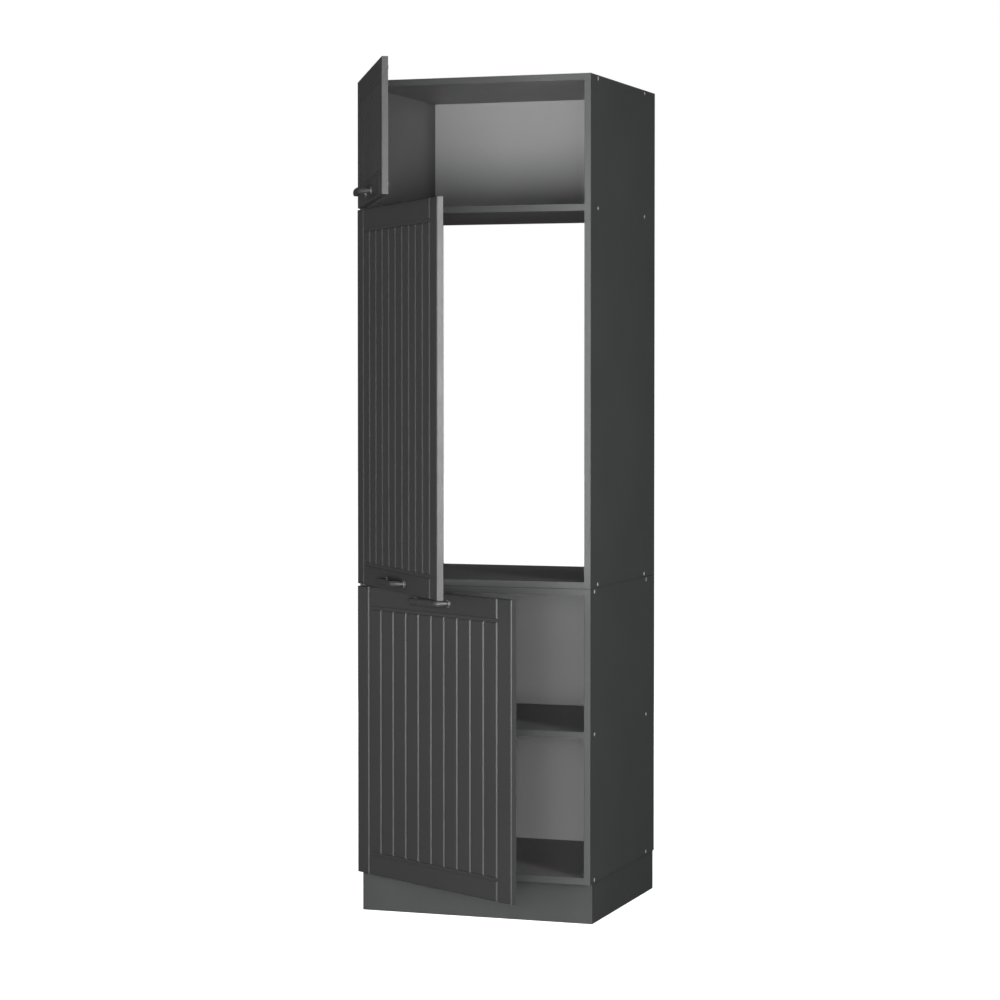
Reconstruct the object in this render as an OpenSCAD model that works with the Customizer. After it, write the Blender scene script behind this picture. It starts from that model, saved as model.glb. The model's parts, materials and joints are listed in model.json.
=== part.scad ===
// Tall kitchen housing for a built-in refrigerator: a base box and an upper box stacked on a
// plinth frame, with three grooved doors on cup hinges at the left. It is drawn with the
// doors standing open. The origin is on the floor, under the middle of the front plinth board.

/* [Housing] */
// Width of the housing
housing_w = 600; // [500:1:700]
// Depth of both boxes, without the doors
housing_d = 556; // [500:1:600]
// Thickness of every carcass and plinth board
board_t = 16; // [15:0.5:19]
// Height of the plinth frame
plinth_h = 98; // [80:1:150]
// How far the plinth stands back from the front edges
plinth_front_set = 17; // [5:1:60]
// How far the plinth stands in from the rear edges
plinth_rear_set = 11; // [5:1:60]
// Height of the base box
base_h = 720; // [640:1:800]
// Clear height under the shelf of the base box
under_shelf_h = 340; // [200:1:420]
// Height of the upper box
upper_h = 1247; // [1150:1:1400]
// Clear height of the refrigerator niche
niche_h = 900; // [780:1:940]
// Thickness of the back panels
back_t = 3; // [2.5:0.1:4]
// How far the base back panel's front face stands in from the rear edges
base_back_set = 17; // [10:1:40]
// How far the upper back panel's front face stands in from the rear edges
upper_back_set = 62; // [20:1:90]

/* [Doors] */
// Thickness of the doors
door_t = 16; // [16:0.5:19]
// Gap between the doors' back faces and the front edges when closed
door_gap = 3.5; // [3.5:0.1:5]
// Reveal at each side of the doors
side_reveal = 1.5; // [1:0.1:3]
// Reveal above the top door
top_reveal = 3.5; // [1:0.1:6]
// Gap between the top door and the middle door
door_joint = 3.5; // [2:0.1:6]
// How far the middle door covers the divider's front edge
divider_cover = 11; // [6:0.5:12]
// Distance of the middle door above the joint of the two boxes
middle_rise = 1; // [1:0.1:4]
// Reveal above the lower door
lower_top_reveal = 4.5; // [2:0.1:6]
// Distance of the lower door above the plinth
lower_rise = 2.5; // [1:0.1:6]
// Width of the stiles outside the outer grooves
stile_w = 43.5; // [35:0.5:60]
// Height of the rails above and below the field
rail_h = 46; // [40:0.5:60]
// Rounding of the doors' front edges
edge_round = 3; // [1:0.5:5]
// Width of the routed grooves at the face
groove_w = 12; // [8:0.5:14]
// Depth of the routed grooves
groove_depth = 2.5; // [1.5:0.1:3]
// Number of grooves in the field between the two stile grooves
field_grooves = 9; // [5:1:11]

/* [Opening angles as drawn] */
// Angle at which the top door stands open
top_open = 62.9; // [0:0.1:95]
// Angle at which the middle door stands open
middle_open = 50.4; // [0:0.1:95]
// Angle at which the lower door stands open
lower_open = 31.3; // [0:0.1:95]

/* [Hinges] */
// Diameter of the hinge cups
cup_d = 34.8; // [34.6:0.1:35]
// Depth of the hinge cups below the door's back face
cup_depth = 11.5; // [11:0.1:12]
// Distance of the cup from the door's hinge edge
cup_edge = 3; // [3:0.1:4]
// Distance of the outer hinges from the ends of their door
hinge_inset = 80; // [60:1:100]
// Distance of the hinge plate's centre from the front edge
plate_back = 37; // [37:0.5:40]

/* [Handles] */
// Distance between the handle's two feet
handle_span = 128; // [96:1:160]
// Height of the handle's middle line above its rosettes
handle_rise = 28; // [22:0.5:32]
// How far each leg of the handle leans inwards on its way up
leg_lean = 12; // [8:0.5:14]
// Height of the grip at its middle
grip_h = 17; // [12:0.5:20]
// Thickness of the grip at its middle
grip_t = 6.8; // [5:0.1:9]
// Diameter of the handle's feet
foot_d = 10.4; // [9.5:0.1:12]
// Diameter of the rosettes
rosette_d = 18; // [17:0.5:22]
// Thickness of the rosettes
rosette_t = 3.2; // [2.5:0.1:5]

/* [Hidden] */

// Overrun of every cut past the face that it opens
cut = 1;
// Clearance of a screw or dowel in its hole
hole_play = 0.1;

// Levels above the floor and places across the housing
base_z = plinth_h;
seam_z = base_z + base_h;
top_z = seam_z + upper_h;
divider_z = seam_z + board_t + niche_h;
shelf_z = base_z + board_t + under_shelf_h;
half_w = housing_w / 2;
inner_half = half_w - board_t;
// The front edges stand this far before the middle of the front plinth board
front_y = -(plinth_front_set + board_t / 2);

// Grooves that hold the back panels
back_play = 0.2;
back_sink = 6;

// Carcass screws: countersunk connector screws with a hexagon socket
screw_head_r = 5;
screw_head_h = 2.4;
screw_shank_r = 3.4;
screw_len = 50;
screw_socket_r = 2.3;
screw_socket_depth = 2;
// Depths of the screws in from the front edge
base_screw_front = 34;
base_screw_rear_set = 75;
upper_screw_front = 60;
upper_screw_rear_set = 94;

// Wooden dowels between the screws
dowel_r = 4;
dowel_len = 30;
dowel_in_side = 9;
dowel_end_play = 0.5;

// Sleeve connectors that join the two boxes
sleeve_r = 4;
sleeve_wall = 1;
sleeve_head_r = 7.5;
sleeve_head_h = 1.5;
connector_x_set = 50;
connector_y_set = 62;
connector_grip = 4;
connector_end = 3;

// Glue blocks and screws of the plinth
block_w = 34;
block_drop = 22;
plinth_screw_r = 2;
plinth_screw_head_r = 4;
plinth_screw_len = 45;

// Door places; every door has the same width
door_w = housing_w - 2 * side_reveal;
door_edge_x = -half_w + side_reveal;
lower_z0 = base_z + lower_rise;
lower_z1 = seam_z - lower_top_reveal;
middle_z0 = seam_z + middle_rise;
middle_z1 = divider_z + divider_cover;
top_z0 = middle_z1 + door_joint;
top_z1 = top_z - top_reveal;
groove_pitch = (door_w - 2 * stile_w - groove_w) / (field_grooves + 1);

// Hinge levels of a door: a tall door has three hinges, a very low one has one
three_hinge_h = 900;
function hinge_levels(z0, z1) =
    z1 - z0 > three_hinge_h ? [z0 + hinge_inset, (z0 + z1) / 2, z1 - hinge_inset]
    : z1 - z0 > 2 * hinge_inset + wing_w ? [z0 + hinge_inset, z1 - hinge_inset]
    : [(z0 + z1) / 2];

// Hinge cup. In the hinge modules x runs in from the door's edge, y back from the door's
// back face as it stands closed, and z up from the hinge's middle.
cup_wall = 0.8;
cup_floor = 0.6;
cup_play = 0.1;
cup_r = cup_d / 2;
cup_x = cup_edge + cup_r;
flange_t = 1.2;
flange_over = 2.1;
ear_r = 6.5;
ear_x = 9.5;
ear_z = 22.5;
cup_screw_r = 1.6;
cup_screw_head_r = 3.2;
cup_screw_head_h = 1.3;
cup_screw_len = 10;

// Pin line of the hinges: in from the door's edge and into the door from its back face
eye_in = 4.3;
pivot_in = cup_edge + eye_in;
pivot_deep = 7.5;
pin_r = 1.25;
pin_len = 14;
pin_fit = 0.03;
eye_r = 2.6;
eye_fit = 0.06;
nose_w = 7;
boss_gap = 0.5;
boss_half = 3.2;

// Hinge arm: a bent steel strip that ends in a channel over the plate
strip_t = 2.2;
neck_run = 12.2;
neck_dip = 1.7;
neck_out = 19;
neck_turn = 2;
arm_w = 16;
arm_len = 62;
arm_start = 4;
arm_wall = 1.3;
channel_start = 8;
channel_h = 6.5;
arm_rise = 12;
arm_screw_r = 2;
arm_screw_head_r = 3.6;
arm_screw_head_h = 1.6;
arm_screw_set = 11;
arm_screw_len = 7;

// Hinge plate on the side board
plate_t = 3;
plate_len = 38;
plate_w = 16;
wing_len = 16;
wing_w = 48;
top_hinges = hinge_levels(top_z0, top_z1);
middle_hinges = hinge_levels(middle_z0, middle_z1);
lower_hinges = hinge_levels(lower_z0, lower_z1);
all_hinges = concat(top_hinges, middle_hinges, lower_hinges);
rib_w = 12.4;
rib_len = 34;
plate_screw_z = 16;
plate_screw_r = 1.9;
plate_screw_head_r = 3.6;
plate_screw_head_h = 1.4;
plate_screw_len = 14;

// Handle screws and rubber bumpers
handle_screw_r = 2;
handle_screw_head_r = 4;
handle_screw_head_h = 2.4;
handle_screw_grip = 6.5;
foot_bore_play = 0.08;
bumper_r = 4;
bumper_h = 2;
bumper_set = 14;
bumper_end = 24;

// Rosettes: a half-round groove lies between the rim and the collar that the foot stands on
rosette_rim = 1.4;
collar_play = 0.2;
collar_r = foot_d / 2 + collar_play;
rim_in = rosette_d / 2 - rosette_rim;

// The bow's line: each leg leans by the first power, and the second joins leg and grip
leg_power = 1.5;
shoulder_power = 8;
grip_crown = 1.5;
bow_rings = 56;
bow_sides = 16;

board_grey = "#3c3f40";
door_grey = "#3a3d3e";
back_grey = "#a9acac";
steel = "#b9bcbe";
zinc = "#8f9294";
pewter = "#4a4a49";
beech = "#c9a877";
rubber_clear = "#cfd2d2";

// Places children on the housing: y counted back from the carcass's front edges
module housed() translate([0, front_y, 0]) children();

// A board given by its lowest corner and its size
module board(at, size) translate(at) cube(size);

// A hole or pin along X, from one x to another
module bar_x(x0, x1, y, z, r) translate([x0, y, z]) rotate([0, 90, 0]) cylinder(r = r, h = x1 - x0, $fn = 32);

// A hole or pin along Y
module bar_y(y0, y1, x, z, r) translate([x, y1, z]) rotate([90, 0, 0]) cylinder(r = r, h = y1 - y0, $fn = 32);

// Depths of the two screws and the dowel of a board end
function base_depths() = [base_screw_front, housing_d - base_screw_rear_set];
function upper_depths() = [upper_screw_front, housing_d - upper_screw_rear_set];
function middle_of(pair) = (pair[0] + pair[1]) / 2;

// Middle levels of the boards that meet the sides
function base_levels() = [base_z + board_t / 2, shelf_z + board_t / 2, seam_z - board_t / 2];
function upper_levels() = [seam_z + board_t / 2, divider_z + board_t / 2, top_z - board_t / 2];

// Holes for the screws and dowels of one board end, on the side given by s
module end_holes(s, depths, z) mirror([s < 0 ? 1 : 0, 0, 0]) {
    for (y = depths) {
        bar_x(half_w - screw_len - 2 * hole_play, half_w + cut, y, z, screw_shank_r + hole_play);
        bar_x(half_w - screw_head_h - hole_play, half_w + cut, y, z, screw_head_r + hole_play);
    }
    bar_x(inner_half + dowel_in_side - dowel_len - dowel_end_play, inner_half + dowel_in_side + dowel_end_play,
        middle_of(depths), z, dowel_r + hole_play);
}

// One connector screw, head flush with the side's outer face
module connector_screw(y, z) difference() {
    union() {
        bar_x(half_w - screw_len, half_w - cut, y, z, screw_shank_r);
        bar_x(half_w - screw_head_h, half_w, y, z, screw_head_r);
    }
    translate([half_w - screw_socket_depth, y, z]) rotate([0, 90, 0])
        cylinder(r = screw_socket_r, h = screw_socket_depth + cut, $fn = 6);
}
module end_screws(s, depths, levels) housed() mirror([s < 0 ? 1 : 0, 0, 0])
    for (y = depths, z = levels) connector_screw(y, z);

// Slot for a back panel whose front face stands at y, cut to back_sink past the box given
module back_slot(y, x0, x1, z0, z1)
    board([x0 - back_sink, y - back_play, z0 - back_sink],
        [x1 - x0 + 2 * back_sink, back_t + 2 * back_play, z1 - z0 + 2 * back_sink]);
module base_back_slot()
    back_slot(housing_d - base_back_set, -inner_half, inner_half, base_z + board_t, seam_z - board_t);
module upper_back_slot()
    back_slot(housing_d - upper_back_set, -inner_half, inner_half, divider_z + board_t, top_z - board_t);

// Screw holes of the hinge plates in the left side
module plate_holes() for (z = all_hinges, s = [-1, 1])
    bar_x(-inner_half + plate_t - plate_screw_len - hole_play, -inner_half + cut, plate_back,
        z + s * plate_screw_z, plate_screw_r + hole_play);

module base_side(s) housed() difference() {
    board([s > 0 ? inner_half : -half_w, 0, base_z], [board_t, housing_d, base_h]);
    for (z = base_levels()) end_holes(s, base_depths(), z);
    base_back_slot();
    if (s < 0) plate_holes();
}
module upper_side(s) housed() difference() {
    board([s > 0 ? inner_half : -half_w, 0, seam_z], [board_t, housing_d, upper_h]);
    for (z = upper_levels()) end_holes(s, upper_depths(), z);
    upper_back_slot();
    if (s < 0) plate_holes();
}
module base_side_left() color(board_grey) base_side(-1);
module base_side_right() color(board_grey) base_side(1);
module upper_side_left() color(board_grey) upper_side(-1);
module upper_side_right() color(board_grey) upper_side(1);

// A board between the sides, with its underside at z and the given depth
module cross_board(z, depth, depths) housed() difference() {
    board([-inner_half, 0, z], [2 * inner_half, depth, board_t]);
    for (s = [-1, 1]) end_holes(s, depths, z + board_t / 2);
    base_back_slot();
    upper_back_slot();
    connector_holes();
    plinth_screw_holes();
}
module base_top() color(board_grey) cross_board(seam_z - board_t, housing_d, base_depths());
module base_shelf() color(board_grey)
    cross_board(shelf_z, housing_d - base_back_set - back_play, base_depths());
module base_bottom() color(board_grey) cross_board(base_z, housing_d, base_depths());
module upper_top() color(board_grey) cross_board(top_z - board_t, housing_d, upper_depths());
module upper_divider() color(board_grey) cross_board(divider_z, housing_d, upper_depths());
module niche_floor() color(board_grey) cross_board(seam_z, housing_d, upper_depths());

// Back panels, seated in their slots
module back_panel(y, z0, z1) housed()
    board([-inner_half - back_sink + back_play, y, z0 - back_sink + back_play],
        [2 * (inner_half + back_sink - back_play), back_t, z1 - z0 + 2 * (back_sink - back_play)]);
module base_back() color(back_grey) back_panel(housing_d - base_back_set, base_z + board_t, seam_z - board_t);
module upper_back() color(back_grey)
    back_panel(housing_d - upper_back_set, divider_z + board_t, top_z - board_t);

// Plinth frame: front and rear boards run the full width, the side boards stand between them
plinth_y0 = plinth_front_set;
plinth_y1 = housing_d - plinth_rear_set;
module plinth_front() color(board_grey) housed()
    board([-half_w, plinth_y0, 0], [housing_w, board_t, plinth_h]);
module plinth_rear() color(board_grey) housed()
    board([-half_w, plinth_y1 - board_t, 0], [housing_w, board_t, plinth_h]);
module plinth_side(x) housed()
    board([x, plinth_y0 + board_t, 0], [board_t, plinth_y1 - plinth_y0 - 2 * board_t, plinth_h]);
module plinth_left() color(board_grey) plinth_side(-half_w);
module plinth_right() color(board_grey) plinth_side(inner_half);

// Centre of each glue block, in the inner corners of the plinth
block_x = inner_half - block_w / 2;
block_y0 = plinth_y0 + board_t + block_w / 2;
block_y1 = plinth_y1 - board_t - block_w / 2;
module plinth_screw_holes() for (x = [-block_x, block_x], y = [block_y0, block_y1]) translate([x, y, base_z]) {
    translate([0, 0, board_t - plinth_screw_len - hole_play])
        cylinder(r = plinth_screw_r + hole_play, h = plinth_screw_len + cut, $fn = 24);
    translate([0, 0, board_t - plinth_screw_head_r])
        cylinder(r1 = hole_play, r2 = plinth_screw_head_r + hole_play, h = plinth_screw_head_r, $fn = 32);
}
module plinth_blocks() color(beech) housed() difference() {
    for (x = [-block_x, block_x], y = [block_y0, block_y1])
        board([x - block_w / 2, y - block_w / 2, block_drop], [block_w, block_w, plinth_h - block_drop]);
    plinth_screw_holes();
}
module plinth_screws() color(steel) housed()
    for (x = [-block_x, block_x], y = [block_y0, block_y1]) translate([x, y, base_z]) {
        translate([0, 0, board_t - plinth_screw_len])
            cylinder(r = plinth_screw_r, h = plinth_screw_len - hole_play, $fn = 24);
        translate([0, 0, board_t - plinth_screw_head_r])
            cylinder(r1 = 0, r2 = plinth_screw_head_r, h = plinth_screw_head_r, $fn = 32);
    }

module base_screws_left() color(steel) end_screws(-1, base_depths(), base_levels());
module base_screws_right() color(steel) end_screws(1, base_depths(), base_levels());
module upper_screws_left() color(steel) end_screws(-1, upper_depths(), upper_levels());
module upper_screws_right() color(steel) end_screws(1, upper_depths(), upper_levels());

// Dowels in every board end of one box
module dowel_set(depths, levels) for (s = [0, 1], z = levels) mirror([s, 0, 0])
    bar_x(inner_half + dowel_in_side - dowel_len, inner_half + dowel_in_side, middle_of(depths), z, dowel_r);
module dowels() color(beech) housed() {
    dowel_set(base_depths(), base_levels());
    dowel_set(upper_depths(), upper_levels());
}

// Sleeve connectors: the sleeve from above, the bolt from below
connector_xs = [-inner_half + connector_x_set, inner_half - connector_x_set];
connector_ys = [connector_y_set, housing_d - connector_y_set];
module connector_places() for (x = connector_xs, y = connector_ys) translate([x, y, seam_z]) children();
module connector_holes() connector_places() {
    translate([0, 0, -board_t - cut]) cylinder(r = sleeve_r + hole_play, h = 2 * board_t + 2 * cut, $fn = 32);
    for (s = [0, 1]) mirror([0, 0, s]) translate([0, 0, board_t - sleeve_head_h - hole_play])
        cylinder(r = sleeve_head_r + hole_play, h = sleeve_head_h + hole_play + cut, $fn = 48);
}
module connector_sleeves() color(zinc) housed() connector_places() difference() {
    union() {
        translate([0, 0, board_t - sleeve_head_h]) cylinder(r = sleeve_head_r, h = sleeve_head_h, $fn = 48);
        translate([0, 0, -board_t + connector_grip])
            cylinder(r = sleeve_r, h = 2 * board_t - connector_grip - sleeve_head_h / 2, $fn = 32);
    }
    translate([0, 0, -board_t - cut])
        cylinder(r = sleeve_r - sleeve_wall + hole_play, h = 2 * board_t + cut - connector_end / 2, $fn = 32);
    translate([0, 0, board_t - sleeve_head_h / 2]) cylinder(r = screw_socket_r, h = sleeve_head_h, $fn = 6);
}
module connector_bolts() color(zinc) housed() connector_places() difference() {
    union() {
        translate([0, 0, -board_t]) cylinder(r = sleeve_head_r, h = sleeve_head_h, $fn = 48);
        translate([0, 0, -board_t + sleeve_head_h / 2])
            cylinder(r = sleeve_r - sleeve_wall, h = 2 * board_t - connector_end - sleeve_head_h / 2, $fn = 32);
    }
    translate([0, 0, -board_t - cut]) cylinder(r = screw_socket_r, h = cut + sleeve_head_h / 2, $fn = 6);
}

// Door frame of reference: the origin is the hinge-side end of the door's back face, x runs
// across the door, y to the back of the housing and z up. swung() turns it about the pins.
module swung(open) housed()
    translate([door_edge_x + pivot_in, -door_gap - pivot_deep, 0]) rotate([0, 0, -open])
        translate([-pivot_in, pivot_deep, 0]) children();

// A routed groove with sloping flanks, from one point of the face to another
module groove_profile() polygon([
    [-groove_w / 2 - cut, cut], [-groove_w / 2, 0], [-groove_w / 2 + groove_depth, -groove_depth],
    [groove_w / 2 - groove_depth, -groove_depth], [groove_w / 2, 0], [groove_w / 2 + cut, cut]]);
module upright_groove(x, z0, z1) translate([x, -door_t, z0]) mirror([0, 1, 0])
    linear_extrude(height = z1 - z0) groove_profile();
module level_groove(z, x0, x1) translate([x0, -door_t, z]) rotate([90, 0, 90])
    linear_extrude(height = x1 - x0) mirror([0, 1, 0]) rotate([0, 0, 90]) groove_profile();

stile_x = stile_w + groove_w / 2;
module door_grooves(z0, z1) {
    low = z0 + rail_h + groove_w / 2;
    high = z1 - rail_h - groove_w / 2;
    for (x = [stile_x, door_w - stile_x]) upright_groove(x, z0 - cut, z1 + cut);
    for (z = [low, high]) level_groove(z, stile_x, door_w - stile_x);
    for (i = [1 : field_grooves]) upright_groove(stile_x + i * groove_pitch, low, high);
}

// Waste at the rounded front edges: upright at x, level at z
module rim_profile() difference() {
    translate([-cut, -cut]) square(edge_round + cut);
    translate([edge_round, edge_round]) circle(r = edge_round, $fn = 48);
}
module upright_rim(x, flip, z0, z1) translate([x, -door_t, z0 - cut]) mirror([flip, 0, 0])
    linear_extrude(height = z1 - z0 + 2 * cut) rim_profile();
module level_rim(z, flip) translate([-cut, -door_t, z]) mirror([0, 0, flip]) rotate([90, 0, 90])
    linear_extrude(height = door_w + 2 * cut) rim_profile();
module door_rims(z0, z1) {
    upright_rim(0, 0, z0, z1);
    upright_rim(door_w, 1, z0, z1);
    level_rim(z0, 0);
    level_rim(z1, 1);
}

// Places of the handle's two feet, with the handle's level given
module foot_places(z) for (s = [-1, 1]) translate([door_w / 2 + s * handle_span / 2, 0, z]) children();

module door(open, z0, z1, hinges, handle_z) color(door_grey) swung(open) difference() {
    board([0, -door_t, z0], [door_w, door_t, z1 - z0]);
    door_grooves(z0, z1);
    door_rims(z0, z1);
    for (z = hinges) {
        bar_y(-cup_depth - cup_play, cut, cup_x, z, cup_r + cup_play);
        for (s = [-1, 1])
            bar_y(flange_t - cup_screw_len - hole_play, cut, cup_x + ear_x, z + s * ear_z,
                cup_screw_r + hole_play);
    }
    foot_places(handle_z) bar_y(-door_t - cut, cut, 0, 0, handle_screw_r + hole_play);
}
top_handle_z = top_z0 + rail_h / 2;
middle_handle_z = middle_z0 + rail_h / 2;
lower_handle_z = lower_z1 - rail_h / 2;
module door_top() door(top_open, top_z0, top_z1, top_hinges, top_handle_z);
module door_middle() door(middle_open, middle_z0, middle_z1, middle_hinges, middle_handle_z);
module door_lower() door(lower_open, lower_z0, lower_z1, lower_hinges, lower_handle_z);

// Bow of the handle: elliptical rings along a line that rises from both feet. The angle a runs
// from one foot at 0 to the other at 180.
function bow_x(a) = handle_span / 2 * cos(a);
function leg_out(x) = handle_rise * pow((handle_span / 2 - abs(x)) / leg_lean, 1 / leg_power);
function grip_out(x) = handle_rise - grip_crown * pow(2 * x / handle_span, 2);
function bow_out(a) = let (leg = leg_out(bow_x(a)), grip = grip_out(bow_x(a)))
    leg * pow(1 + pow(leg / grip, shoulder_power), -1 / shoulder_power);
function bow_step() = 180 / bow_rings;
function bow_way(i) = i == 0 ? [0, 1] : i == bow_rings ? [0, -1]
    : let (a = i * bow_step(), d = bow_step() / 2,
        v = [bow_x(a + d) - bow_x(a - d), bow_out(a + d) - bow_out(a - d)])
        v / norm(v);
function mixed(a, b, share) = a + (b - a) * share;
function bow_ring(i) =
    let (a = i * bow_step(), way = bow_way(i), swell_share = sqrt(abs(sin(a))),
        rt = mixed(foot_d, grip_t, swell_share) / 2, rh = mixed(foot_d, grip_h, swell_share) / 2)
        [for (k = [0 : bow_sides - 1]) let (q = 360 * k / bow_sides, off = rt * cos(q))
            [bow_x(a) - way[1] * off, -bow_out(a) - way[0] * off, rh * sin(q)]];
bow_points = [for (i = [0 : bow_rings]) each bow_ring(i)];
bow_faces = concat(
    [[for (k = [0 : bow_sides - 1]) k]],
    [for (i = [0 : bow_rings - 1], k = [0 : bow_sides - 1]) let (n = (k + 1) % bow_sides)
        [i * bow_sides + n, i * bow_sides + k, (i + 1) * bow_sides + k, (i + 1) * bow_sides + n]],
    [[for (k = [bow_sides - 1 : -1 : 0]) bow_rings * bow_sides + k]]);

module handle(open, z) color(pewter) swung(open) difference() {
    translate([door_w / 2, -door_t - rosette_t, z]) polyhedron(points = bow_points, faces = bow_faces);
    foot_places(z) bar_y(-door_t - rosette_t - handle_screw_grip - foot_bore_play,
        cut - door_t - rosette_t, 0, 0, handle_screw_r + foot_bore_play);
}
module handle_top() handle(top_open, top_handle_z);
module handle_middle() handle(middle_open, middle_handle_z);
module handle_lower() handle(lower_open, lower_handle_z);

// Rosette under each foot: a disc with a chamfered rim, a half-round groove and a flat collar
module rosette() rotate([90, 0, 0]) rotate_extrude($fn = 64) difference() {
    polygon([
        [handle_screw_r + hole_play, 0], [rosette_d / 2, 0], [rosette_d / 2, rosette_t - rosette_rim / 2],
        [rosette_d / 2 - rosette_rim / 2, rosette_t], [handle_screw_r + hole_play, rosette_t]]);
    translate([(rim_in + collar_r) / 2, rosette_t]) circle(r = (rim_in - collar_r) / 2, $fn = 32);
}
module rosettes(open, z) color(pewter) swung(open) foot_places(z) translate([0, -door_t, 0]) rosette();
module rosettes_top() rosettes(top_open, top_handle_z);
module rosettes_middle() rosettes(middle_open, middle_handle_z);
module rosettes_lower() rosettes(lower_open, lower_handle_z);

// Machine screws from the door's back into the handle's feet, with a cross recess
module handle_screw() difference() {
    union() {
        bar_y(-door_t - rosette_t - handle_screw_grip, cut / 2, 0, 0, handle_screw_r);
        bar_y(0, handle_screw_head_h, 0, 0, handle_screw_head_r);
    }
    for (q = [0, 90]) rotate([0, q, 0])
        board([-handle_screw_r, handle_screw_head_h / 2, -handle_screw_r / 4],
            [2 * handle_screw_r, handle_screw_head_h, handle_screw_r / 2]);
}
module handle_screws(open, z) color(steel) swung(open) foot_places(z) handle_screw();
module handle_screws_top() handle_screws(top_open, top_handle_z);
module handle_screws_middle() handle_screws(middle_open, middle_handle_z);
module handle_screws_lower() handle_screws(lower_open, lower_handle_z);

// Hinge cup with its flange, two screw ears and the two bosses that hold the pin
module cup_bosses() for (s = [-1, 1])
    translate([pivot_in - boss_half, -cup_depth, s > 0 ? nose_w / 2 + boss_gap : -cup_r])
        cube([2 * boss_half, cup_depth - pivot_deep + boss_half, cup_r - nose_w / 2 - boss_gap]);
module cup() difference() {
    union() {
        bar_y(-cup_depth, flange_t / 2, cup_x, 0, cup_r);
        intersection() {
            union() {
                bar_y(0, flange_t, cup_x, 0, cup_r + flange_over);
                for (s = [-1, 1]) bar_y(0, flange_t, cup_x + ear_x, s * ear_z, ear_r);
            }
            board([cup_edge, -cut, -ear_z - ear_r], [2 * cup_d, 2 * cut + flange_t, 2 * (ear_z + ear_r)]);
        }
    }
    difference() {
        bar_y(-cup_depth + cup_floor, flange_t + cut, cup_x, 0, cup_r - cup_wall);
        cup_bosses();
    }
    translate([pivot_in, -pivot_deep, -pin_len / 2 - hole_play])
        cylinder(r = pin_r + pin_fit, h = pin_len + 2 * hole_play, $fn = 32);
    for (s = [-1, 1]) bar_y(-cut, flange_t + cut, cup_x + ear_x, s * ear_z, cup_screw_r + hole_play);
}
module at_hinges(open, hinges) swung(open) for (z = hinges) translate([0, 0, z]) children();
module hinge_cups_top() color(steel) at_hinges(top_open, top_hinges) cup();
module hinge_cups_middle() color(steel) at_hinges(middle_open, middle_hinges) cup();
module hinge_cups_lower() color(steel) at_hinges(lower_open, lower_hinges) cup();

module cup_screw() difference() {
    union() {
        bar_y(flange_t - cup_screw_len, flange_t + cup_screw_head_h / 2, 0, 0, cup_screw_r);
        bar_y(flange_t, flange_t + cup_screw_head_h, 0, 0, cup_screw_head_r);
    }
    for (q = [0, 90]) rotate([0, q, 0])
        board([-cup_screw_r, flange_t + cup_screw_head_h / 2, -cup_screw_r / 4],
            [2 * cup_screw_r, cup_screw_head_h, cup_screw_r / 2]);
}
module cup_screws() for (s = [-1, 1]) translate([cup_x + ear_x, 0, s * ear_z]) cup_screw();
module cup_screws_top() color(steel) at_hinges(top_open, top_hinges) cup_screws();
module cup_screws_middle() color(steel) at_hinges(middle_open, middle_hinges) cup_screws();
module cup_screws_lower() color(steel) at_hinges(lower_open, lower_hinges) cup_screws();

module pin() translate([pivot_in, -pivot_deep, -pin_len / 2]) cylinder(r = pin_r, h = pin_len, $fn = 32);
module hinge_pins_top() color(steel) at_hinges(top_open, top_hinges) pin();
module hinge_pins_middle() color(steel) at_hinges(middle_open, middle_hinges) pin();
module hinge_pins_lower() color(steel) at_hinges(lower_open, lower_hinges) pin();

// Rubber bumpers at the free end of each door's back
module bumpers(open, z0, z1) color(rubber_clear) swung(open) for (z = [z0 + bumper_end, z1 - bumper_end])
    bar_y(0, bumper_h, door_w - bumper_set, z, bumper_r);
module bumpers_top() bumpers(top_open, top_z0, top_z1);
module bumpers_middle() bumpers(middle_open, middle_z0, middle_z1);
module bumpers_lower() bumpers(lower_open, lower_z0, lower_z1);

// The fixed half of a hinge, in the closed door's frame of reference
module fixed_hinges(hinges) housed() translate([door_edge_x, -door_gap, 0])
    for (z = hinges) translate([0, 0, z]) children();

// Side board's inner face and the arm's underside, counted in from the door's edge
seat_x = board_t - side_reveal;
arm_under = seat_x + arm_rise - strip_t / 2;
arm_line = seat_x + arm_rise;

// A strip of the arm between two points of its plan
module strip(a, b) translate([a[0], a[1], 0]) rotate([0, 0, atan2(b[1] - a[1], b[0] - a[0])])
    translate([0, -strip_t / 2]) square([norm(b - a), strip_t]);
neck_points = [
    [pivot_in + eye_r - strip_t / 2, -pivot_deep - neck_dip / 2],
    [pivot_in + neck_run, -pivot_deep - neck_dip],
    [arm_line - neck_turn / 2, -pivot_deep + neck_turn],
    [arm_line, neck_turn / 2],
    [arm_line, door_gap + arm_start + strip_t]];
module neck_plan() difference() {
    union() {
        translate([pivot_in, -pivot_deep]) circle(r = eye_r, $fn = 48);
        for (i = [0 : len(neck_points) - 2]) strip(neck_points[i], neck_points[i + 1]);
        for (i = [1 : len(neck_points) - 2]) translate(neck_points[i]) circle(r = strip_t / 2, $fn = 24);
    }
    translate([pivot_in, -pivot_deep]) circle(r = pin_r + eye_fit, $fn = 32);
}
arm_screw_ys = [plate_back - arm_screw_set, plate_back + arm_screw_set];
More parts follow.
